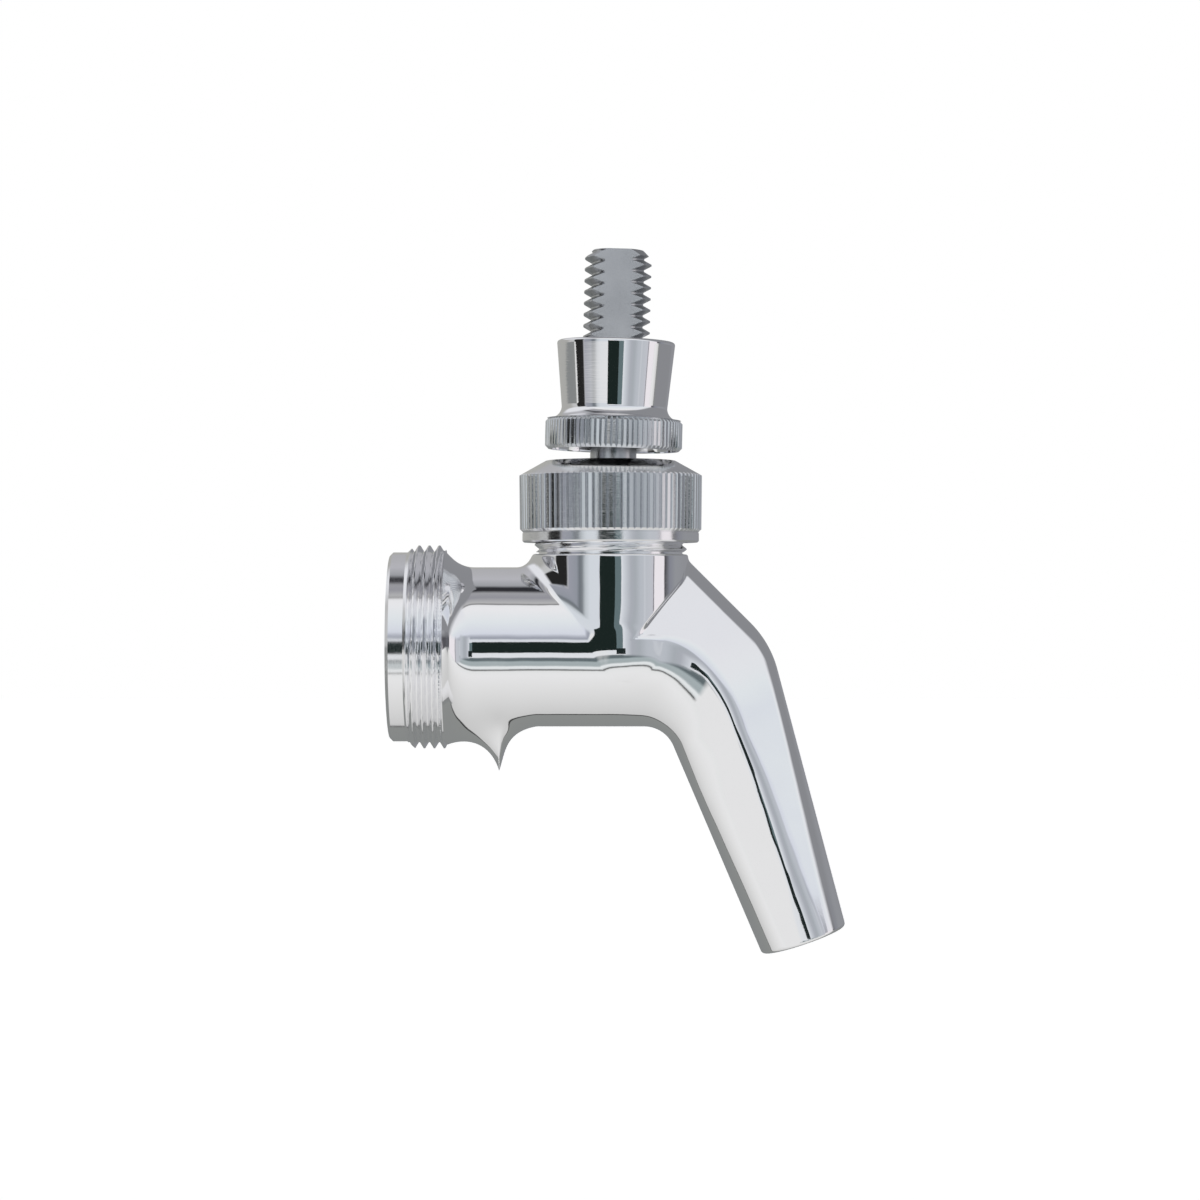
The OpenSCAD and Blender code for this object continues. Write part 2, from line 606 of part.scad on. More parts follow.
// Open ring that snaps into the groove behind the guide
module guide_clip() {
    inner_r = guide_seat_d / 2 - clip_groove + running;
    color([0.6, 0.61, 0.63]) translate([guide_x - clip_t, 0, 0]) along_x() difference() {
        cylinder(h = clip_t - eps, d = clip_d);
        translate([0, 0, -1]) cylinder(h = clip_t + 2, r = inner_r);
        translate([0, -inner_r * 0.9, -1]) cube([clip_d, inner_r * 1.8, clip_t + 2]);
    }
}

module seat_o_ring() {
    color([0.1, 0.1, 0.11]) translate([seat_ring_x, 0, 0]) along_x() o_ring(seat_ring_d, seat_cord_d);
}

// Screw whose shouldered head holds the seat O-ring against the disc
module seat_screw() {
    color([0.7, 0.71, 0.73]) along_x() difference() {
        rotate_extrude() polygon([
            [0, seat_disc_x - screw_len + 0.2], [screw_d / 2 - 0.3, seat_disc_x - screw_len + 0.2],
            [screw_d / 2, seat_disc_x - screw_len + 0.5], [screw_d / 2, seat_disc_x],
            [seat_groove_d / 2, seat_disc_x], [seat_groove_d / 2, screw_head_x],
            [screw_head_d / 2, screw_head_x], [screw_head_d / 2, screw_head_x + 0.5],
            [screw_head_d / 2 - 0.8, screw_head_x + screw_head_t], [0, screw_head_x + screw_head_t]]);
        translate([-0.5, -screw_head_d, screw_head_x + 0.6]) cube([1, 2 * screw_head_d, 2]);
    }
}

faucet_body();
coupling_washer();
throat_o_ring();
bearing_cup();
compression_bonnet();
lever();
lever_collar();
plunger_shaft();
plunger_guide();
guide_clip();
seat_o_ring();
seat_screw();
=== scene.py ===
"""Looks of a forward-sealing beer faucet: polished casting, real threads and knurls, a white studio.

Lengths are millimetres in this script's own values, and metres on Blender's objects.
"""

import json
import math

import bpy
import numpy as np
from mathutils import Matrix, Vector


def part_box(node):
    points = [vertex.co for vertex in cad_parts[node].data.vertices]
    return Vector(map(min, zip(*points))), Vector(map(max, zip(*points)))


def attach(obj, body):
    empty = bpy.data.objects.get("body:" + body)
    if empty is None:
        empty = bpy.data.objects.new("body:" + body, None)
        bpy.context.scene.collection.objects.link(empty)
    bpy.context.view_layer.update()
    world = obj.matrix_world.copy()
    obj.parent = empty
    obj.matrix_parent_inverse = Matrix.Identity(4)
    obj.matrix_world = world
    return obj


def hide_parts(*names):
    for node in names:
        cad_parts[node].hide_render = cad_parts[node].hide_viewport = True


MM = 0.001

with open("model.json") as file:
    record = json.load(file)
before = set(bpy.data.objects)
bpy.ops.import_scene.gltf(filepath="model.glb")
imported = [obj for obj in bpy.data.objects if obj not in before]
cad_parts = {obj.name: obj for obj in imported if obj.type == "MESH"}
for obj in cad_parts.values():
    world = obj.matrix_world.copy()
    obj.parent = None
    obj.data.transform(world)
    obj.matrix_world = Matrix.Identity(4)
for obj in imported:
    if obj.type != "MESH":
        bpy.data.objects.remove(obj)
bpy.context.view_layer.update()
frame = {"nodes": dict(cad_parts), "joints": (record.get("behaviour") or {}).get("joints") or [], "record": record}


def node_box(name):
    """Lowest and highest corner of a CAD node, in millimetres."""
    low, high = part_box(name)
    return np.array(low) / MM, np.array(high) / MM


def mount(name):
    return next(m for m in frame["record"]["mounts"] if m["name"] == name)


def joint(name):
    return next(j for j in frame["joints"] if j["name"] == name)


# Sizes read off the frame
body_low, body_high = node_box("faucet_body")
bonnet_low, bonnet_high = node_box("compression_bonnet")
washer_low, washer_high = node_box("coupling_washer")
SOCKET_R = mount("shank_socket")["dims"]["r_mm"]
SOCKET_DEPTH = washer_low[0]
WASHER_X = washer_high[0]
PILOT_R = mount("coupling_pilot")["dims"]["r_mm"]
BORE_R = mount("spout_outlet")["dims"]["r_mm"]
COUPLING_R = body_high[1]
TOWER_X, _, PIVOT_Z = (v / MM for v in joint("lever_pivot")["pos_m"])

# Coupling thread and hub
COUPLING_PITCH = 1.411
THREAD_START_X = 2.45
THREAD_END_X = 7.0
HUB_CONE_X = 8.66
HUB_CENTRE_X = 11.84
HUB_R = 4.5
NOTCHES = 18
NOTCH_DEPTH = 0.8
NOTCH_LEN = 2.8

# Barrel, bend and spout, as in the CAD source
BARREL_R = 11.2
BARREL_HALF_W = 10.75
SPOUT_X = 44.0
SPOUT_LEN = 43.6
SPOUT_ROOT_R = 9.35
SPOUT_TIP_R = 6.2
SPOUT_ANGLE = 19.0
BEND_R = 4.5
SHOULDER_EDGE_R = 4.0
FACET_TILT = 32.7
SPOUT_EDGE_R = 4.0
SHOULDER_REACH = 54.1
RIM_ROUND = 0.5

# Tower and its neck. It narrows below TAPER_Z and again below the axis, and its foot in front is tucked in.
TOWER_R = 10.9
TOWER_EDGE = 0.3
TOWER_BOTTOM_Z = -4.0
TAPER_Z = 5.0
TAPER = 0.006
LOW_TAPER = 0.05
FOOT_X = (31, 35)
FOOT_TOP_Z = 7.0
FOOT_TUCK = 0.15
NECK_R = 10.7
NECK_PITCH = 1.25
NECK_THREAD_DEPTH = 0.6

# Creases between the tower and the bar. Pairs are where a change starts and where it is complete.
SADDLE_FILLET = 2.6
SADDLE_BEHIND = (-3.5, 0)
SADDLE_Z = (4, 13)
FOOT_FILLET = 0.5
FOOT_FILLET_X = (30, 34)
CREASE_FILLET = 0.35
FLANK_Z = 1.3
LEDGE_X = 34.9
LEDGE_Z = 2.1
LEDGE_SLOPE = 49.2
HOLLOW_EDGE = 0.15
SKIN_OVERLAP = 0.35

# Shape of the drip point's sides, as an angle round the barrel in radians
DRIP_SPREAD = 0.184
DRIP_FLARE = 0.05
DRIP_POWER = 1.42

# How the barrel, the bend and the spout flow into each other
HUB_TO_OVAL_X = (8, 13)
FLANK_BLEND = 1.7
SPOUT_BLEND = 1.4
SPOUT_FLARE = 0.03
BELLY_X = (38, 46)
BELLY_RISE = 0.6
BEND_RUN = (0, 8)
BEND_RISE = 1.6
TIP_RUN = (3, 33)
UPPER_X = (30, 42)
UPPER_STRETCH = 25.0
FACET_BLEND = 2.0
CORNER_R = 0.25
CORNER_X = (37, 46)
CORNER_GROWTH = 0.6
SOFT_START = (2, 10)
SOFT_END = (16, 28)
SOFT_GROWTH = 0.4
EDGE_START_S = 10.0

SIN_S = math.sin(math.radians(SPOUT_ANGLE))
COS_S = math.cos(math.radians(SPOUT_ANGLE))
SPOUT_TAPER = (SPOUT_ROOT_R - SPOUT_TIP_R) / SPOUT_LEN

BEND_END_S = (BARREL_R + BEND_R - (BEND_R + SPOUT_ROOT_R) * SIN_S) / (COS_S - SPOUT_TAPER * SIN_S)
BEND_END_R = SPOUT_ROOT_R - SPOUT_TAPER * BEND_END_S
BEND_X = SPOUT_X + BEND_END_S * SIN_S - (BEND_R + BEND_END_R) * COS_S
BEND_Z = -(BARREL_R + BEND_R)
INNER_ANGLE = math.radians(SPOUT_ANGLE) + math.atan(SPOUT_TAPER)
INNER_DIR = (math.sin(INNER_ANGLE), -math.cos(INNER_ANGLE))


def smooth(x, low, high):
    t = np.clip((x - low) / (high - low), 0, 1)
    return t * t * (3 - 2 * t)


def soft_min(a, b, k):
    return np.minimum(a, b) - np.maximum(k - np.abs(a - b), 0) ** 2 / (4 * k)


def soft_max(a, b, k):
    return -soft_min(-a, -b, k)


def round_union(a, b, radius):
    """Union of two solids with a concave fillet between them."""
    return np.maximum(radius, np.minimum(a, b)) - np.hypot(
        np.maximum(radius - a, 0), np.maximum(radius - b, 0)
    )


def round_cut(a, b, radius):
    """Intersection of two solids with a rounded edge between them."""
    return (
        np.minimum(np.maximum(a, b) + radius, 0)
        + np.hypot(np.maximum(a + radius, 0), np.maximum(b + radius, 0))
        - radius
    )


def wedge(p, q, edge, tilt):
    """Distance to a ridge with two flat flanks: p across it, q up from the centre of its round edge.
    The flanks' normals point up by tilt."""
    c, s = math.cos(math.radians(tilt)), math.sin(math.radians(tilt))
    return np.where(q * c > p * s, np.hypot(p, q) - edge, p * c + q * s - edge)


def oval(p, u, half_width, length):
    """Distance to an ellipse, measured from its centre."""
    k = np.maximum(np.hypot(p / half_width, u / length), 1e-6)
    return np.hypot(p, u) * (1 - 1 / k)


def bezier(points, count=400):
    """x and z of a cubic curve through its four control points, as two arrays."""
    t = np.linspace(0, 1, count)[:, None]
    a, b, c, d = (np.array(p, float) for p in points)
    curve = (1 - t) ** 3 * a + 3 * t * (1 - t) ** 2 * b + 3 * t * t * (1 - t) * c + t**3 * d
    return curve[:, 0], curve[:, 1]


# Underside of the drip point: an arch behind it and a fillet in front of it
DRIP_TIP = (15.3, -17.5)
DRIP_FRONT_END = 20.6
DRIP_REAR = [(7.3, -14.1), (10.0, -12.7), (13.9, -12.9), DRIP_TIP]
DRIP_FRONT = [DRIP_TIP, (16.2, -15.0), (16.0, -12.0), (DRIP_FRONT_END, -BARREL_R)]
DRIP_LINE = np.concatenate([np.array(bezier(DRIP_REAR)), np.array(bezier(DRIP_FRONT))[:, 1:]], axis=1)


def hub_radius(x):
    arc_x = np.clip(HUB_CENTRE_X - x, 0, HUB_CENTRE_X - HUB_CONE_X)
    arc = BARREL_R + HUB_R - np.sqrt(HUB_R**2 - arc_x**2)
    return np.minimum(arc + np.maximum(HUB_CONE_X - x, 0), COUPLING_R - 0.1)


def barrel_field(x, y, z):
    """Hub, barrel and drip point: a round bar whose underside swells into the drip point."""
    hub = hub_radius(x)
    drop = np.maximum(-np.interp(x, DRIP_LINE[0], DRIP_LINE[1], right=-BARREL_R) - hub, 0)
    spread = DRIP_SPREAD + DRIP_FLARE * np.abs(x - DRIP_TIP[0])
    from_below = np.arctan2(np.abs(y), -z)
    swell = drop * np.exp(-((from_below / spread) ** DRIP_POWER))
    flatten = 1 + (BARREL_R / BARREL_HALF_W - 1) * smooth(x, *HUB_TO_OVAL_X)
    return np.hypot(y * flatten, z) - hub - swell


def on_spout(x, z):
    """Distance along the spout's axis from its root, and distance in front of that axis."""
    return (x - SPOUT_X) * SIN_S - z * COS_S, (x - SPOUT_X) * COS_S + z * SIN_S


def shoulder_q(x, z):
    """Height over the centre of the shoulder's round edge, which runs down at 45 degrees."""
    return (x + z - SHOULDER_REACH) / math.sqrt(2) + SHOULDER_EDGE_R


def facet_p(x, z):
    """Distance of the shoulder's facet from the middle plane."""
    c, s = math.cos(math.radians(FACET_TILT)), math.sin(math.radians(FACET_TILT))
    return (SHOULDER_EDGE_R - shoulder_q(x, z) * s) / c


def belly_field(p, q, x, s, along):
    """The oval section of barrel, bend and spout. p is across, and q is the depth inside the underside."""
    half_w = soft_min(BARREL_HALF_W, facet_p(x, FLANK_Z), FLANK_BLEND)
    half_w = soft_max(half_w, SPOUT_TIP_R + SPOUT_FLARE * (SPOUT_LEN - s), SPOUT_BLEND)
    centre = BARREL_R + BELLY_RISE * smooth(x, *BELLY_X) + BEND_RISE * smooth(along, *BEND_RUN)
    centre = centre + (SPOUT_TIP_R - centre) * smooth(along, *TIP_RUN)
    u = q - centre
    length = np.where(u < 0, centre, BARREL_R + UPPER_STRETCH * smooth(x, *UPPER_X))
    return oval(p, u, half_w, length)


def pipe_field(x, y, z):
    """Barrel, bend and spout as one bar. Its belly is an oval, and two flat facets cut its shoulder."""
    p = np.abs(y)
    dx, dz = x - BEND_X, z - BEND_Z
    along = dx * INNER_DIR[0] + dz * INNER_DIR[1]
    across = dx * -INNER_DIR[1] + dz * INNER_DIR[0]
    q = np.where(x < BEND_X, z + BARREL_R, np.where(along > 0, across, np.hypot(dx, dz)) - BEND_R)
    s, w = on_spout(x, z)

    shoulder = wedge(p, shoulder_q(x, z), SHOULDER_EDGE_R, FACET_TILT)
    edge = SPOUT_EDGE_R + (SPOUT_TIP_R - SPOUT_EDGE_R) * smooth(s, EDGE_START_S, SPOUT_LEN)
    front = wedge(p, w - (SPOUT_ROOT_R - SPOUT_TAPER * s) + edge, edge, FACET_TILT)
    facets = soft_max(shoulder, front, FACET_BLEND)
    soft = SOFT_GROWTH * smooth(along, *SOFT_START) * (1 - smooth(along, *SOFT_END))
    corner = CORNER_R + CORNER_GROWTH * smooth(x, *CORNER_X) + soft
    bar = soft_max(belly_field(p, q, x, s, along), facets, corner)
    bar = round_cut(bar, s - SPOUT_LEN, RIM_ROUND)
    return np.where(x < DRIP_FRONT_END, barrel_field(x, y, z), bar)


# Inside of the body: the chamber as a half profile of (x, radius), then the ball's pocket and the bore
THROAT_R = 4.8
CHAMBER_R = 7.0
CHAMBER = [(WASHER_X, CHAMBER_R), (37.4, CHAMBER_R), (39.6, THROAT_R), (44.7, THROAT_R), (47.47, 0.0)]
POCKET_STEP_Z = 7.99
POCKET_LOW_R = 4.6
POCKET_HIGH_R = 6.58
BORE_STEP_S = 7.0
DRILL_R = 4.7


def tower_field(x, y, z):
    """The tower down to the ledge where the facets meet it."""
    radius = TOWER_R - TAPER * np.maximum(TAPER_Z - z, 0) ** 2 - LOW_TAPER * np.maximum(-z, 0) ** 2
    radius = radius - FOOT_TUCK * smooth(x, *FOOT_X) * (1 - smooth(z, 0, FOOT_TOP_Z))
    tower = round_cut(np.hypot(x - TOWER_X, y) - radius, z - PIVOT_Z, TOWER_EDGE)
    tower = np.maximum(tower, TOWER_BOTTOM_Z - z)
    slope = math.radians(LEDGE_SLOPE)
    ledge = (x - LEDGE_X) * math.sin(slope) - (z - LEDGE_Z) * math.cos(slope)
    return round_cut(tower, np.minimum(ledge, z - FLANK_Z), TOWER_EDGE)


def hollow_field(x, y, z):
    """The chamber, the ball's pocket and the spout's bore."""
    chamber_r = np.interp(x, [p[0] for p in CHAMBER], [p[1] for p in CHAMBER])
    chamber = np.maximum(np.hypot(y, z) - chamber_r, x - CHAMBER[-1][0])
    pocket_r = np.where(z < POCKET_STEP_Z, POCKET_LOW_R, POCKET_HIGH_R)
    pocket = np.maximum(np.hypot(x - TOWER_X, y) - pocket_r, -z)
    s, w = on_spout(x, z)
    bore = np.maximum(np.hypot(w, y) - np.where(s < BORE_STEP_S, DRILL_R, BORE_R), -s)
    return np.minimum(np.minimum(chamber, pocket), bore)


def skin_field(x, y, z):
    """The polished body from the hub to the spout's tip and the top of the tower. It is negative inside."""
    rear = smooth(TOWER_X - x, *SADDLE_BEHIND) * smooth(z, *SADDLE_Z)
    foot = smooth(x, *FOOT_FILLET_X) * (1 - smooth(z, 0, FOOT_TOP_Z))
    fillet = CREASE_FILLET + (SADDLE_FILLET - CREASE_FILLET) * rear + FOOT_FILLET * foot
    solid = round_union(pipe_field(x, y, z), tower_field(x, y, z), fillet)
    solid = np.maximum(solid, THREAD_END_X + SKIN_OVERLAP - x)
    return round_cut(solid, -hollow_field(x, y, z), HOLLOW_EDGE)


def field_normal(x, y, z, step=0.02):
    gradient = np.stack(
        [
            skin_field(x + step, y, z) - skin_field(x - step, y, z),
            skin_field(x, y + step, z) - skin_field(x, y - step, z),
            skin_field(x, y, z + step) - skin_field(x, y, z - step),
        ],
        axis=1,
    ) / (2 * step)
    length = np.linalg.norm(gradient, axis=1)
    return gradient / np.maximum(length, 1e-6)[:, None], np.maximum(length, 0.3)


def skin_mesh(cell):
    """Vertices, faces and normals of the zero surface of skin_field, on a grid of that cell."""
    low = np.array([THREAD_END_X + 0.1, body_low[1] - 0.5, body_low[2] - 0.5])
    high = np.array([body_high[0] + 0.4, body_high[1] + 0.5, PIVOT_Z + 0.5])
    axes = [np.arange(low[i], high[i] + cell, cell) for i in range(3)]
    values = np.empty([len(a) for a in axes], np.float32)
    for i in range(0, len(axes[0]), 16):
        grid = np.meshgrid(axes[0][i : i + 16], axes[1], axes[2], indexing="ij")
        values[i : i + 16] = skin_field(*grid)
    inside = values < 0
    nx, ny, nz = (n - 1 for n in inside.shape)
    corners = [
        inside[i : i + nx, j : j + ny, k : k + nz]
        for i in (0, 1)
        for j in (0, 1)
        for k in (0, 1)
    ]
    count = np.sum(corners, axis=0)
    mixed = (count > 0) & (count < 8)
    index = np.full(mixed.shape, -1, np.int32)
    cells = np.argwhere(mixed)
    index[mixed] = np.arange(len(cells))
    points = low + (cells + 0.5) * cell
    for _ in range(5):
        normal, length = field_normal(*points.T)
        move = skin_field(*points.T) / length
        points -= normal * np.clip(move, -0.6 * cell, 0.6 * cell)[:, None]
    faces = []
    for axis in range(3):
        u, v = (axis + 1) % 3, (axis + 2) % 3
        first = np.take(inside, range(inside.shape[axis] - 1), axis)
        second = np.take(inside, range(1, inside.shape[axis]), axis)
        at = np.argwhere(first != second)
        at = at[(at[:, u] > 0) & (at[:, v] > 0) & (at[:, u] < mixed.shape[u]) & (at[:, v] < mixed.shape[v])]
        around = []
        for du, dv in ((-1, -1), (0, -1), (0, 0), (-1, 0)):
            moved = at.copy()
            moved[:, u] += du
            moved[:, v] += dv
            around.append(index[tuple(moved.T)])
        quad = np.stack(around, axis=1)
        leaving = first[tuple(at.T)]
        quad[~leaving] = quad[~leaving][:, ::-1]
        faces.append(quad)
    normal, _ = field_normal(*points.T)
    return points, np.concatenate(faces), normal


def new_object(name, points, faces, material, body):
    """A mesh from points in millimetres, with its material and body."""
    mesh = bpy.data.meshes.new(name)
    mesh.from_pydata((np.asarray(points) * MM).tolist(), [], [list(map(int, f)) for f in faces])
    mesh.validate()
    obj = bpy.data.objects.new(name, mesh)
    bpy.context.scene.collection.objects.link(obj)
    mesh.materials.append(material)
    mesh.shade_smooth()
    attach(obj, body)
    return obj


def lathe(name, rows, segments, place, material, body, closed=False, sharp=32, knurled=()):
    """A turned piece. Each row is (height, radius), and a radius is a number or one value for each segment.
    place maps arrays of x, y, height, made round +Z, into the row frame. knurled is the range of rows with a
    knurl."""
    angle = np.arange(segments) * 2 * np.pi / segments
    points = []
    for height, radius in rows:
        r = np.broadcast_to(np.asarray(radius, float), angle.shape)
        h = np.broadcast_to(np.asarray(height, float), angle.shape)
        points.append(np.stack(place(r * np.cos(angle), r * np.sin(angle), h), axis=1))
    count = len(rows)
    i = np.arange(count if closed else count - 1)[:, None] * segments
    j = np.arange(segments)[None, :]
    k = (j + 1) % segments
    up = (i + segments) % (count * segments)
    faces = np.stack([i + j, i + k, up + k, up + j], axis=-1).reshape(-1, 4).tolist()
    if not closed:
        faces.append(list(range(segments))[::-1])
        faces.append(list(range((count - 1) * segments, count * segments)))
    obj = new_object(name, np.concatenate(points), faces, material, body)
    obj.data.set_sharp_from_angle(angle=math.radians(sharp))
    if knurled:
        obj.data.materials.append(knurl_steel)
        for face in obj.data.polygons:
            if knurled[0] <= face.index // segments < knurled[1]:
                face.material_index = 1
    return obj


def round_z(x, y, h):
    """Placed round the tower's axis."""
    return x + TOWER_X, y, h


def round_x(x, y, h):
    """Placed round the barrel's axis, with height along +X."""
    return h, -x, y


LEAN = math.radians(1.5)


def on_lever(x, y, h):
    """Placed round the lever's axis, with height above its pivot."""
    return (
        TOWER_X + x * math.cos(LEAN) + h * math.sin(LEAN),
        y,
        PIVOT_Z - x * math.sin(LEAN) + h * math.cos(LEAN),
    )


def vee(turns, flat=0.12):
    """Height from 0 to 1 of a V thread at a position given in turns, with its crest at a whole turn."""
    off = np.abs((turns + 0.5) % 1 - 0.5)
    return np.clip((0.5 - flat / 2 - off) / (0.5 - flat), 0, 1)


def knurl(segments, teeth, crest_r, depth, land=0.5):
    """Radius round a straight knurl with flat lands and V grooves."""
    off = np.abs((np.arange(segments) * teeth / segments + 0.5) % 1 - 0.5) * 2
    return crest_r - depth * np.clip((off - land) / (1 - land), 0, 1)


# Materials


def add_node(tree, kind, **inputs):
    """A new shader node. Inputs are values or sockets by name, with _ for a space."""
    made = tree.nodes.new("ShaderNode" + kind)
    for name, value in inputs.items():
        socket = made.inputs[name.replace("_", " ")]
        if isinstance(value, bpy.types.NodeSocket):
            tree.links.new(value, socket)
        else:
            socket.default_value = value
    return made


def new_material(name):
    """A material, its node tree and its shader."""
    material = bpy.data.materials.new(name)
    material.use_nodes = True
    return material, material.node_tree, material.node_tree.nodes.get("Principled BSDF")


def vary_tint(tree, shader, colour, dark, share):
    """Base colour between a share of the colour and the colour itself."""
    shade = (*[c * dark for c in colour], 1)
    tint = add_node(tree, "MixRGB", Color1=shade, Color2=(*colour, 1), Fac=share)
    tree.links.new(tint.outputs["Color"], shader.inputs["Base Color"])


def polished(name, colour, roughness, scratch, grain, streak=(1, 1, 1), waviness=0.0):
    """Polished or machined metal: fine tool marks in the bump and slow changes of gloss."""
    material, tree, shader = new_material(name)
    shader.inputs["Metallic"].default_value = 1.0
    place = add_node(tree, "TexCoord").outputs["Object"]
    stretched = add_node(tree, "Mapping", Vector=place, Scale=streak).outputs["Vector"]
    marks = add_node(tree, "TexNoise", Vector=stretched, Scale=grain, Detail=3.0).outputs["Fac"]
    wave = add_node(tree, "TexNoise", Vector=place, Scale=140.0, Detail=1.0).outputs["Fac"]
    swell = add_node(tree, "Bump", Strength=1.0, Distance=waviness * MM, Height=wave).outputs["Normal"]
    bump = add_node(tree, "Bump", Strength=scratch, Distance=0.02 * MM, Height=marks, Normal=swell)
    tree.links.new(bump.outputs["Normal"], shader.inputs["Normal"])

    cloud = add_node(tree, "TexNoise", Vector=place, Scale=160.0, Detail=4.0).outputs["Fac"]
    gloss = add_node(tree, "MapRange", Value=cloud, From_Min=0.3, From_Max=0.7)
    gloss.inputs["To Min"].default_value = roughness * 0.8
    gloss.inputs["To Max"].default_value = roughness * 1.3
    tree.links.new(gloss.outputs["Result"], shader.inputs["Roughness"])
    vary_tint(tree, shader, colour, 0.97, cloud)
    return material


def moulded(name, colour, roughness):
    """Rubber or turned plastic with a fine grain."""
    material, tree, shader = new_material(name)
    place = add_node(tree, "TexCoord").outputs["Object"]
    grain = add_node(tree, "TexNoise", Vector=place, Scale=1800.0, Detail=5.0).outputs["Fac"]
    bump = add_node(tree, "Bump", Strength=0.3, Distance=0.05 * MM, Height=grain)
    tree.links.new(bump.outputs["Normal"], shader.inputs["Normal"])
    gloss = add_node(tree, "MapRange", Value=grain, To_Min=roughness * 0.85, To_Max=roughness * 1.15)
    tree.links.new(gloss.outputs["Result"], shader.inputs["Roughness"])
    vary_tint(tree, shader, colour, 0.9, grain)
    return material


STEEL = (0.93, 0.93, 0.945)
body_steel = polished("body_steel", STEEL, 0.04, 0.10, 900.0, waviness=0.06)
coupling_steel = polished("coupling_steel", STEEL, 0.10, 0.25, 2500.0, (6, 0.3, 0.3))
bonnet_steel = polished("bonnet_steel", (0.92, 0.92, 0.93), 0.12, 0.25, 2500.0, (0.3, 0.3, 6))
collar_steel = polished("collar_steel", STEEL, 0.04, 0.10, 1500.0, (0.3, 0.3, 4))
knurl_steel = polished("knurl_steel", (0.76, 0.775, 0.79), 0.13, 0.4, 2500.0, (0.3, 0.3, 6))
lever_steel = polished("lever_steel", (0.56, 0.57, 0.585), 0.22, 0.5, 2500.0, (3, 3, 0.5))
plunger_steel = polished("plunger_steel", (0.85, 0.86, 0.88), 0.15, 0.3, 2500.0, (6, 0.3, 0.3))
clip_steel = polished("clip_steel", (0.6, 0.61, 0.63), 0.25, 0.3, 2000.0)
washer_rubber = moulded("washer_rubber", (0.03, 0.03, 0.032), 0.6)
seal_rubber = moulded("seal_rubber", (0.015, 0.015, 0.016), 0.45)
acetal = moulded("acetal", (0.84, 0.84, 0.82), 0.4)

NODE_MATERIALS = {
    "coupling_washer": washer_rubber,
    "throat_o_ring": seal_rubber,
    "bearing_cup": acetal,
    "plunger_shaft": plunger_steel,
    "plunger_guide": acetal,
    "guide_clip": clip_steel,
    "seat_o_ring": seal_rubber,
    "seat_screw": plunger_steel,
}
for cad_node, material in NODE_MATERIALS.items():
    mesh = frame["nodes"][cad_node].data
    mesh.materials.clear()
    mesh.materials.append(material)


# Body


def make_body_skin():
    points, faces, normals = skin_mesh(0.2)
    obj = new_object("body_skin", points, faces, body_steel, "body")
    obj.data.normals_split_custom_set_from_vertices(normals.tolist())
    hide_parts("faucet_body")
    return obj


PILOT_CHAMFER = 0.45
COUPLING_ROOT_R = 13.42
COUPLING_CREST_X = 4.1
COUPLING_STEP = 0.05
SOCKET_GROOVE_R = 10.58
NOTCH_SHARE = 0.36
NECK_BORE_R = 8.25
NECK_STEP = 0.08


def make_coupling():
    segments = 540
    turn = np.arange(segments) / segments
    rows = [(0.0, PILOT_R - PILOT_CHAMFER), (PILOT_CHAMFER, PILOT_R), (THREAD_START_X, PILOT_R)]
    # The crest passes the top of the coupling at COUPLING_CREST_X and moves forward in a right-handed turn
    crest_x = COUPLING_CREST_X + COUPLING_PITCH * (turn - 0.25)
    for x in np.arange(THREAD_START_X + COUPLING_STEP, THREAD_END_X + 0.9, COUPLING_STEP):
        height = (COUPLING_R - COUPLING_ROOT_R) * vee((x - crest_x) / COUPLING_PITCH)
        rows.append((x, np.minimum(COUPLING_ROOT_R + height, PILOT_R + 0.9 * (x - THREAD_START_X))))
    relief_r = CHAMBER_R + 0.3
    rows += [(rows[-1][0], relief_r), (WASHER_X + 0.5, relief_r), (WASHER_X, CHAMBER_R)]
    rows += [(WASHER_X, SOCKET_GROOVE_R), (SOCKET_DEPTH, SOCKET_GROOVE_R)]
    off_notch = np.abs((turn * NOTCHES + 0.5) % 1 - 0.5) * NOTCHES * NOTCH_SHARE
    notch = SOCKET_R + NOTCH_DEPTH * np.clip(1 - off_notch, 0, 1)
    rows += [(SOCKET_DEPTH, SOCKET_R), (NOTCH_LEN, SOCKET_R), (NOTCH_LEN, notch), (0.0, notch)]
    steel = coupling_steel
    return lathe("coupling_thread", rows, segments, round_x, steel, "body", closed=True)


def make_neck():
    segments = 360
    top = node_box("bearing_cup")[1][2] - 0.6
    turn = np.arange(segments) / segments
    root = NECK_R - NECK_THREAD_DEPTH
    rows = [(PIVOT_Z - 0.4, NECK_BORE_R), (PIVOT_Z - 0.4, root), (PIVOT_Z + 0.3, root)]
    for z in np.arange(PIVOT_Z + 0.35, top, NECK_STEP):
        rows.append((z, root + NECK_THREAD_DEPTH * vee((z - NECK_PITCH * turn) / NECK_PITCH)))
    rows += [(top, root), (top, NECK_BORE_R)]
    return lathe("tower_neck", rows, segments, round_z, coupling_steel, "body", closed=True)


# Bonnet

RING_R = 12.42
RING_H = 1.4
BONNET_TEETH = 84
BONNET_KNURL_DEPTH = 0.45
BONNET_TOP_R = 9.1
BONNET_CHAMFER_H = 2.1
BONNET_MOUTH_R = 8.4
BONNET_LEDGE_R = 6.3
THREAD_GAP = 0.08
SEGMENTS_PER_TOOTH = 12


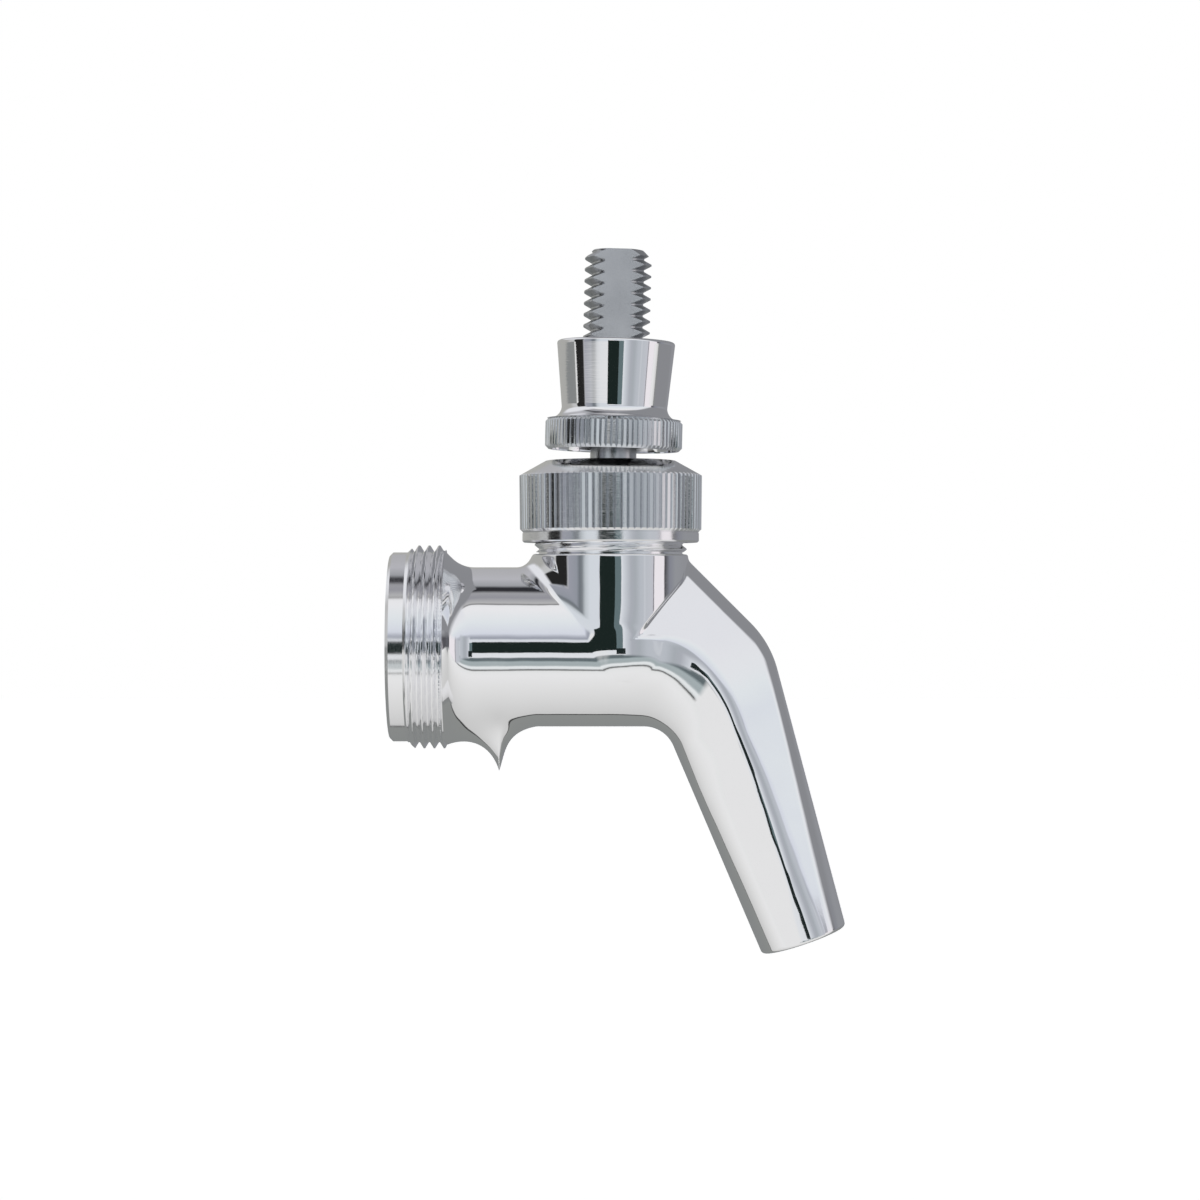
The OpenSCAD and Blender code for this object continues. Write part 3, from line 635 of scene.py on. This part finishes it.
def make_bonnet():
    segments = BONNET_TEETH * SEGMENTS_PER_TOOTH
    base, top = bonnet_low[2], bonnet_high[2]
    knurl_r = (bonnet_high[1] - bonnet_low[1]) / 2
    teeth = knurl(segments, BONNET_TEETH, knurl_r, BONNET_KNURL_DEPTH)
    start = base + RING_H
    shoulder = top - BONNET_CHAMFER_H
    inside = NECK_R + THREAD_GAP
    cup_top = node_box("bearing_cup")[1][2]
    rows = [(base, inside), (base, RING_R - 0.2), (base + 0.2, RING_R), (start - 0.1, RING_R)]
    rows.append((start, RING_R - 0.1))
    for z in np.linspace(start + 0.02, start + 0.45, 8):
        rows.append((z, np.minimum(teeth, RING_R - 0.1 + (z - start))))
    first = len(rows) - 1
    slope = (knurl_r - BONNET_TOP_R) / BONNET_CHAMFER_H
    crown = np.linspace(shoulder - 0.02, shoulder + 0.6, 14)
    for z in [shoulder - 0.4, *crown, top - 0.05]:
        rows.append((z, np.minimum(teeth, knurl_r - slope * (z - shoulder))))
    rows += [(top, BONNET_TOP_R - 0.12), (top, BONNET_MOUTH_R + 0.15), (top - 0.15, BONNET_MOUTH_R)]
    rows += [(cup_top, BONNET_LEDGE_R), (cup_top, inside)]
    obj = lathe(
        "bonnet", rows, segments, round_z, bonnet_steel, "body",
        closed=True, sharp=20, knurled=(first, first + 2),
    )
    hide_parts("compression_bonnet")
    return obj


# Lever and collar

COLLAR_BASE_H = 14.7
COLLAR_H = 15.3
COLLAR_TOP_H = COLLAR_BASE_H + COLLAR_H
COLLAR_TEETH = 80
COLLAR_KNURL_R = 9.65
COLLAR_KNURL_H = 4.3
COLLAR_KNURL_DEPTH = 0.4
COLLAR_KNURL_CHAMFER = 0.45
COLLAR_WAIST_R = 7.43
COLLAR_TOP_R = 8.3
COLLAR_FILLET_R = 1.75
COLLAR_RIM = 0.4
DISH_DEPTH = 1.9
DISH_R = 8.75
STUD_R = 4.7
STUD_PITCH = 1.5875
STUD_THREAD_DEPTH = 1.05
STUD_STEP = 0.045
STUD_TOP_H = 42.8
STUD_FLAT = 6.35 / 2
NECK_STEM_R = 3.25
LEVER_TIP_R = 2.45
BALL_R = 6.0


def arc(centre_h, centre_r, radius, start, end, count):
    """Rows along an arc, between two angles in degrees up from the outward direction."""
    return [
        (centre_h + radius * math.sin(a), centre_r + radius * math.cos(a))
        for a in np.radians(np.linspace(start, end, count))
    ]


def make_collar():
    segments = COLLAR_TEETH * SEGMENTS_PER_TOOTH
    teeth = knurl(segments, COLLAR_TEETH, COLLAR_KNURL_R, COLLAR_KNURL_DEPTH)
    base, top = COLLAR_BASE_H, COLLAR_TOP_H
    knurl_top = base + COLLAR_KNURL_H
    edge_r = COLLAR_KNURL_R - COLLAR_KNURL_CHAMFER
    rise = np.linspace(0, COLLAR_KNURL_CHAMFER, 7)
    rows = [(base, DISH_R)]
    first = len(rows)
    rows += [(base + h, np.minimum(teeth, edge_r + h)) for h in rise]
    rows += [(knurl_top - h, np.minimum(teeth, edge_r + h)) for h in rise[::-1]]
    last = len(rows) - 1
    fillet_z = knurl_top + COLLAR_FILLET_R
    rows += arc(fillet_z, COLLAR_WAIST_R + COLLAR_FILLET_R, COLLAR_FILLET_R, 278, 184, 14)
    foot = np.array([rows[-1][0], COLLAR_WAIST_R])
    rim_foot = np.array([top - COLLAR_RIM, COLLAR_TOP_R])
    rows += [tuple(foot + (rim_foot - foot) * share) for share in (0.03, 0.5, 0.97)]
    rows += arc(top - COLLAR_RIM, COLLAR_TOP_R - COLLAR_RIM, COLLAR_RIM, 0, 90, 7)
    hole_r = STUD_R + THREAD_GAP
    rows += [(top, STUD_R + 0.3), (top - 0.25, hole_r), (base + DISH_DEPTH, hole_r)]
    rows += [(base + DISH_DEPTH, DISH_R - 0.3), (base + 0.3, DISH_R)]
    obj = lathe(
        "collar", rows, segments, on_lever, collar_steel, "lever_set",
        closed=True, sharp=20, knurled=(first, last),
    )
    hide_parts("lever_collar")
    return obj


def make_lever():
    segments = 480
    turn = np.arange(segments) / segments
    rows = arc(-PIVOT_Z, 0.0, LEVER_TIP_R, -88, 50, 16)
    rows += arc(0.0, 0.0, BALL_R, -68.5, 57.2, 34)
    stud_h = COLLAR_BASE_H + DISH_DEPTH
    rows += [(stud_h - 0.4, NECK_STEM_R), (stud_h + 1, STUD_R), (COLLAR_TOP_H - 0.6, STUD_R)]
    root = STUD_R - STUD_THREAD_DEPTH
    flat = STUD_FLAT / np.maximum(np.abs(np.sin(2 * np.pi * turn)), 1e-6)
    start = COLLAR_TOP_H - 0.3
    for h in np.arange(start, STUD_TOP_H, STUD_STEP):
        thread = root + STUD_THREAD_DEPTH * vee((h - start) / STUD_PITCH - turn, 0.14)
        top_cone = root - 0.1 + (STUD_TOP_H - h)
        rows.append((h, np.minimum(np.minimum(thread, flat), top_cone)))
    rows.append((STUD_TOP_H, np.minimum(root - 0.15, flat)))
    obj = lathe("lever_rod", rows, segments, on_lever, lever_steel, "lever_set")
    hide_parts("lever")
    return obj


# Studio

CAMERA_X = 29.5
CAMERA_Z = 6.6
CAMERA_DISTANCE = 450.0
VIEW_WIDTH = 169.0
FLOOR_Z = -100.0
FLOOR_HALF = 3000.0


def add_camera():
    data = bpy.data.cameras.new("camera")
    data.sensor_width = 36.0
    data.lens = 36.0 * CAMERA_DISTANCE / VIEW_WIDTH
    data.clip_start = 0.01
    camera = bpy.data.objects.new("camera", data)
    bpy.context.scene.collection.objects.link(camera)
    camera.location = (CAMERA_X * MM, -CAMERA_DISTANCE * MM, CAMERA_Z * MM)
    camera.rotation_euler = (math.pi / 2, 0, 0)
    bpy.context.scene.camera = camera


class Graph:
    """Short names for the maths nodes of the studio's shader."""

    def __init__(self, tree):
        self.tree = tree

    def math(self, operation, *values, clamp=False):
        made = self.tree.nodes.new("ShaderNodeMath")
        made.operation = operation
        made.use_clamp = clamp
        for socket, value in zip(made.inputs, values):
            if isinstance(value, (int, float)):
                socket.default_value = value
            else:
                self.tree.links.new(value, socket)
        return made.outputs[0]

    def step(self, value, edge, soft):
        """0 below edge - soft and 1 above edge + soft."""
        return self.math("DIVIDE", self.math("SUBTRACT", value, edge - soft), 2 * soft, clamp=True)

    def below(self, value, edge, soft):
        return self.math("SUBTRACT", 1.0, self.step(value, edge, soft))

    def degrees(self, side, ahead):
        """Angle of a point at those two distances."""
        return self.math("DEGREES", self.math("ARCTAN2", side, ahead))

    def ramp(self, value, stops):
        """Colours along a value."""
        low, high = stops[0][0], stops[-1][0]
        made = self.tree.nodes.new("ShaderNodeValToRGB")
        elements = made.color_ramp.elements
        for at, *tone in stops[1:-1]:
            elements.new((at - low) / (high - low)).color = (*tone, 1)
        elements[0].color = (*stops[0][1:], 1)
        elements[-1].color = (*stops[-1][1:], 1)
        share = self.math("DIVIDE", self.math("SUBTRACT", value, low), high - low, clamp=True)
        self.tree.links.new(share, made.inputs["Fac"])
        return made.outputs["Color"]

    def between(self, value, low, high, soft=0.01):
        return self.math("SUBTRACT", self.step(value, low, soft), self.step(value, high, soft))

    def mix(self, below, colour, share):
        made = self.tree.nodes.new("ShaderNodeMixRGB")
        self.tree.links.new(share, made.inputs["Fac"])
        for socket, value in ((made.inputs["Color1"], below), (made.inputs["Color2"], colour)):
            if isinstance(value, tuple):
                socket.default_value = (*value, 1)
            else:
                self.tree.links.new(value, socket)
        return made.outputs[0]


# Studio tones by angle in degrees. Each row is (angle, red, green, blue).
# Seen square from the side: 0 is ahead at the camera, 90 overhead, -90 down and 180 behind.
PROFILE = [
    (-180, 0.24, 0.25, 0.25),
    (-113.5, 0.27, 0.28, 0.27),
    (-113, 0.03, 0.03, 0.03),
    (-111, 0.03, 0.03, 0.03),
    (-110.5, 0.62, 0.62, 0.61),
    (-88, 0.70, 0.70, 0.69),
    (-59, 0.79, 0.79, 0.78),
    (-40, 0.85, 0.85, 0.845),
    (-32.6, 0.82, 0.83, 0.82),
    (-32, 0.02, 0.02, 0.02),
    (-30.6, 0.02, 0.02, 0.02),
    (-30, 0.80, 0.83, 0.83),
    (-26.5, 0.82, 0.85, 0.85),
    (-25.5, 0.38, 0.43, 0.44),
    (-20, 0.40, 0.46, 0.47),
    (-18.5, 0.12, 0.15, 0.16),
    (-15, 0.13, 0.16, 0.17),
    (-14, 0.78, 0.80, 0.82),
    (10, 0.72, 0.75, 0.79),
    (11.5, 0.32, 0.34, 0.39),
    (14, 0.40, 0.42, 0.48),
    (18.5, 0.70, 0.73, 0.80),
    (36, 0.79, 0.83, 0.85),
    (55, 0.87, 0.87, 0.88),
    (61, 0.85, 0.85, 0.86),
    (62.5, 0.10, 0.10, 0.10),
    (64.5, 0.50, 0.50, 0.50),
    (74, 0.31, 0.31, 0.34),
    (82, 0.36, 0.36, 0.38),
    (87, 0.03, 0.03, 0.035),
    (93, 0.03, 0.03, 0.035),
    (98, 0.36, 0.37, 0.39),
]
REAR_TOP = [
    (98, 0.36, 0.37, 0.39),
    (114, 0.49, 0.49, 0.52),
    (130, 0.46, 0.46, 0.48),
    (180, 0.40, 0.40, 0.41),
]
# Round the horizon: 0 is ahead at the camera and 90 to the right
WALL = [
    (-180, 0.42, 0.42, 0.40),
    (-112, 0.42, 0.42, 0.40),
    (-102, 0.55, 0.55, 0.55),
    (-91, 0.57, 0.58, 0.58),
    (-89, 0.02, 0.02, 0.02),
    (-69, 0.02, 0.02, 0.02),
    (-66, 0.34, 0.35, 0.40),
    (-52, 0.30, 0.32, 0.36),
    (-47, 0.17, 0.19, 0.21),
    (-43, 0.22, 0.24, 0.26),
    (-38, 0.54, 0.58, 0.61),
    (-31, 0.68, 0.72, 0.76),
    (16, 0.72, 0.75, 0.79),
    (21, 0.60, 0.63, 0.67),
    (30, 0.43, 0.45, 0.49),
    (37, 0.41, 0.44, 0.47),
    (45, 0.50, 0.53, 0.57),
    (62, 0.55, 0.57, 0.61),
]
RIGHT_WALL = [
    (62, 0.55, 0.57, 0.61),
    (66, 0.56, 0.56, 0.61),
    (67, 0.08, 0.08, 0.09),
    (68.5, 0.88, 0.84, 0.87),
    (86, 0.88, 0.84, 0.87),
    (87.5, 0.07, 0.07, 0.08),
    (90, 0.10, 0.10, 0.11),
    (98, 0.24, 0.25, 0.29),
    (112, 0.30, 0.31, 0.33),
    (180, 0.27, 0.27, 0.29),
]
DOME = (0.80, 0.81, 0.84)
DOME_REAR = (0.26, 0.265, 0.28)
LEFT_BELOW = (0.83, 0.83, 0.825)
# The pale table at the low left, and the part of the ceiling that the dome's tone covers, by profile angle
LOW_LEFT = (-33.5, 10)
LOW_LEFT_EDGE = -5
CEILING = (45, 150)
CEILING_ASIDE = 0.8
# The rear starts at this azimuth, which moves back with height
REAR_EDGE = 92
REAR_LEAN = 0.67
REAR_LOW = -14
WALL_LOW = -32.5
# What stands round the horizon: azimuth from, to and softness, then elevation from, to and softness
HORIZON = {
    "left": (-67, -13, 2, -5, 30, 2),
    "strip": (-190, -67, 2, -7, 24, 3),
    "ahead": (16, 52, 2, -14, 13, 2),
    "right": (52, 190, 2, -16, 8, 2),
}


def paint_profile(g, azimuth, profile, x, z):
    """Table, front wall and ceiling. The gap overhead shows only in the middle."""
    colour = g.mix(g.ramp(profile, PROFILE), g.ramp(profile, REAR_TOP), g.step(profile, REAR_TOP[0][0], 0.5))
    low_left = g.math("MULTIPLY", g.between(profile, *LOW_LEFT, 0.4), g.below(azimuth, LOW_LEFT_EDGE, 3))
    colour = g.mix(colour, LEFT_BELOW, low_left)
    aside = g.math("ABSOLUTE", g.math("DIVIDE", x, g.math("MAXIMUM", z, 1e-4)))
    dome = g.math("MULTIPLY", g.between(profile, *CEILING, 8), g.step(aside, CEILING_ASIDE, 0.15))
    return g.mix(colour, DOME, dome)


def paint_walls(g, colour, azimuth, elevation, profile):
    """Grey behind the right wall, then what stands round the horizon at the object's own height."""
    rim = g.math("ADD", azimuth, g.math("MULTIPLY", elevation, REAR_LEAN))
    rear = g.math("MULTIPLY", g.step(rim, REAR_EDGE, 5), g.step(elevation, REAR_LOW, 4))
    colour = g.mix(colour, DOME_REAR, rear)
    wall = g.mix(g.ramp(azimuth, WALL), g.ramp(azimuth, RIGHT_WALL), g.step(azimuth, RIGHT_WALL[0][0], 0.5))
    wall = g.mix(colour, wall, g.step(profile, WALL_LOW, 0.5))
    for left, right, soft_side, low, high, soft_end in HORIZON.values():
        across, up = g.between(azimuth, left, right, soft_side), g.between(elevation, low, high, soft_end)
        colour = g.mix(colour, wall, g.math("MULTIPLY", across, up))
    return colour


def add_studio():
    """A white tent round the object, with a pale table below. The camera sees plain white."""
    world = bpy.data.worlds.new("studio")
    bpy.context.scene.world = world
    world.use_nodes = True
    tree = world.node_tree
    tree.nodes.clear()
    g = Graph(tree)
    place = tree.nodes.new("ShaderNodeTexCoord")
    split = tree.nodes.new("ShaderNodeSeparateXYZ")
    tree.links.new(place.outputs["Generated"], split.inputs[0])
    x, y, z = split.outputs
    forward = g.math("MULTIPLY", y, -1.0)
    level = g.math("SQRT", g.math("ADD", g.math("MULTIPLY", x, x), g.math("MULTIPLY", y, y)))
    azimuth = g.degrees(x, forward)
    elevation = g.degrees(z, level)
    profile = g.degrees(z, forward)
    colour = paint_profile(g, azimuth, profile, x, z)
    colour = paint_walls(g, colour, azimuth, elevation, profile)
    path = tree.nodes.new("ShaderNodeLightPath")
    colour = g.mix(colour, (1.0, 1.0, 1.0), path.outputs["Is Camera Ray"])
    background = tree.nodes.new("ShaderNodeBackground")
    tree.links.new(colour, background.inputs["Color"])
    background.inputs["Strength"].default_value = 1.0
    output = tree.nodes.new("ShaderNodeOutputWorld")
    tree.links.new(background.outputs[0], output.inputs[0])


# Dark things beside the camera that the metal shows: low x, high x, low z, high z and colour
CARDS = {
    "opening": (-97.0, 76.0, -60.0, 55.0, (0.012, 0.02, 0.018)),
    "opening_edge": (76.0, 150.0, -40.0, 48.0, (0.13, 0.18, 0.19)),
    "stand": (76.0, 185.0, -105.0, -40.0, (0.015, 0.022, 0.022)),
}


def stage_sheet(name, points):
    """A flat sheet of the studio, with a material of its own name."""
    mesh = bpy.data.meshes.new(name)
    mesh.from_pydata((np.array(points) * MM).tolist(), [], [(0, 1, 2, 3)])
    sheet = bpy.data.objects.new(name, mesh)
    bpy.context.scene.collection.objects.link(sheet)
    material, tree, shader = new_material(name)
    mesh.materials.append(material)
    return sheet, tree, shader


def add_cards():
    """Only reflections see the cards, so they put no light or shadow on the object."""
    for name, (x0, x1, z0, z1, tone) in CARDS.items():
        y = -CAMERA_DISTANCE
        card, tree, _ = stage_sheet(name, [(x0, y, z1), (x1, y, z1), (x1, y, z0), (x0, y, z0)])
        tree.nodes.clear()
        glow = add_node(tree, "Emission", Color=(*tone, 1))
        add_node(tree, "OutputMaterial", Surface=glow.outputs[0])
        card.visible_camera = False
        card.visible_diffuse = False
        card.visible_shadow = False
        card.visible_transmission = False


def add_floor():
    """A pale floor below the view. It keeps the object's shadow, and the metal sees the studio's table."""
    half = FLOOR_HALF
    corners = [(-half, -half), (half, -half), (half, half), (-half, half)]
    floor, tree, shader = stage_sheet("floor", [(x, y, FLOOR_Z) for x, y in corners])
    shader.inputs["Base Color"].default_value = (0.9, 0.89, 0.87, 1)
    shader.inputs["Roughness"].default_value = 0.9
    shader.inputs["Emission Color"].default_value = (0.6, 0.6, 0.6, 1)
    path = add_node(tree, "LightPath")
    tree.links.new(path.outputs["Is Camera Ray"], shader.inputs["Emission Strength"])
    floor.visible_glossy = False


make_body_skin()
make_coupling()
make_neck()
make_bonnet()
make_collar()
make_lever()
add_camera()
add_studio()
add_cards()
add_floor()
bpy.context.scene.view_settings.view_transform = "Standard"
